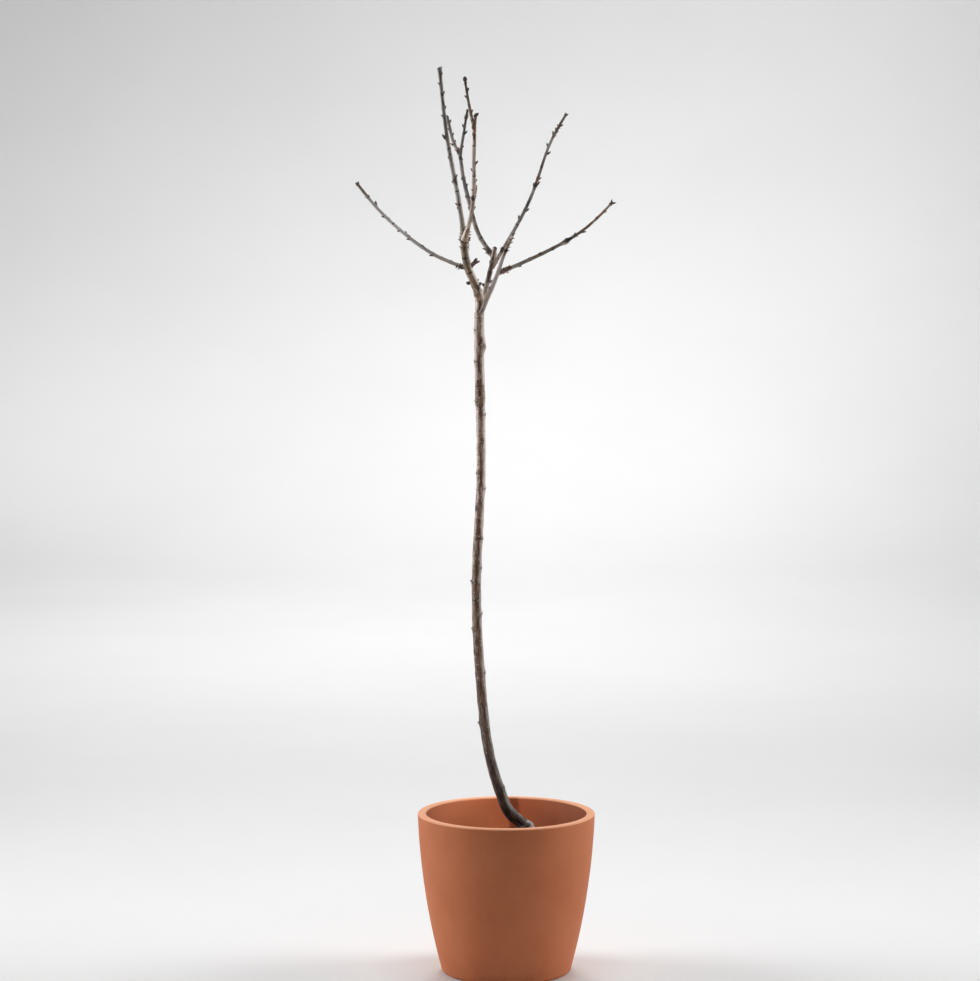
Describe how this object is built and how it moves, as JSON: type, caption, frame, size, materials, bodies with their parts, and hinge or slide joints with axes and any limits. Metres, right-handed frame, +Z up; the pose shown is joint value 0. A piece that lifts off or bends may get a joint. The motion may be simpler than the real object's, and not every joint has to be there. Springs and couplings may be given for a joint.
{
  "type": "potted fruit tree",
  "caption": "Bare young standard cherry tree: a slim grafted trunk with a low, bent foot, an open crown of leafless budded twigs, and the plain turned clay pot it stands in.",
  "frame": {"origin": "centre of the pot's flat underside", "axes": "+Z up along the pot's axis; -Y towards the picture's viewer, +X to the viewer's right"},
  "size_m": [0.3539, 0.2514, 1.2721],
  "materials": {
    "clay": "matte",
    "compost": "matte",
    "bark": "matte",
    "twig_bark": "matte"
  },
  "bodies": {
    "root": {"pot": "clay", "compost": "compost", "trunk": "bark", "left_stem": "bark", "right_stem": "bark", "outer_stem": "bark", "left_limb": "twig_bark", "tall_leader": "twig_bark", "centre_twigs": "twig_bark", "back_twigs": "twig_bark", "upper_right_twig": "twig_bark", "lower_right_twig": "twig_bark"}
  },
  "joints": []
}
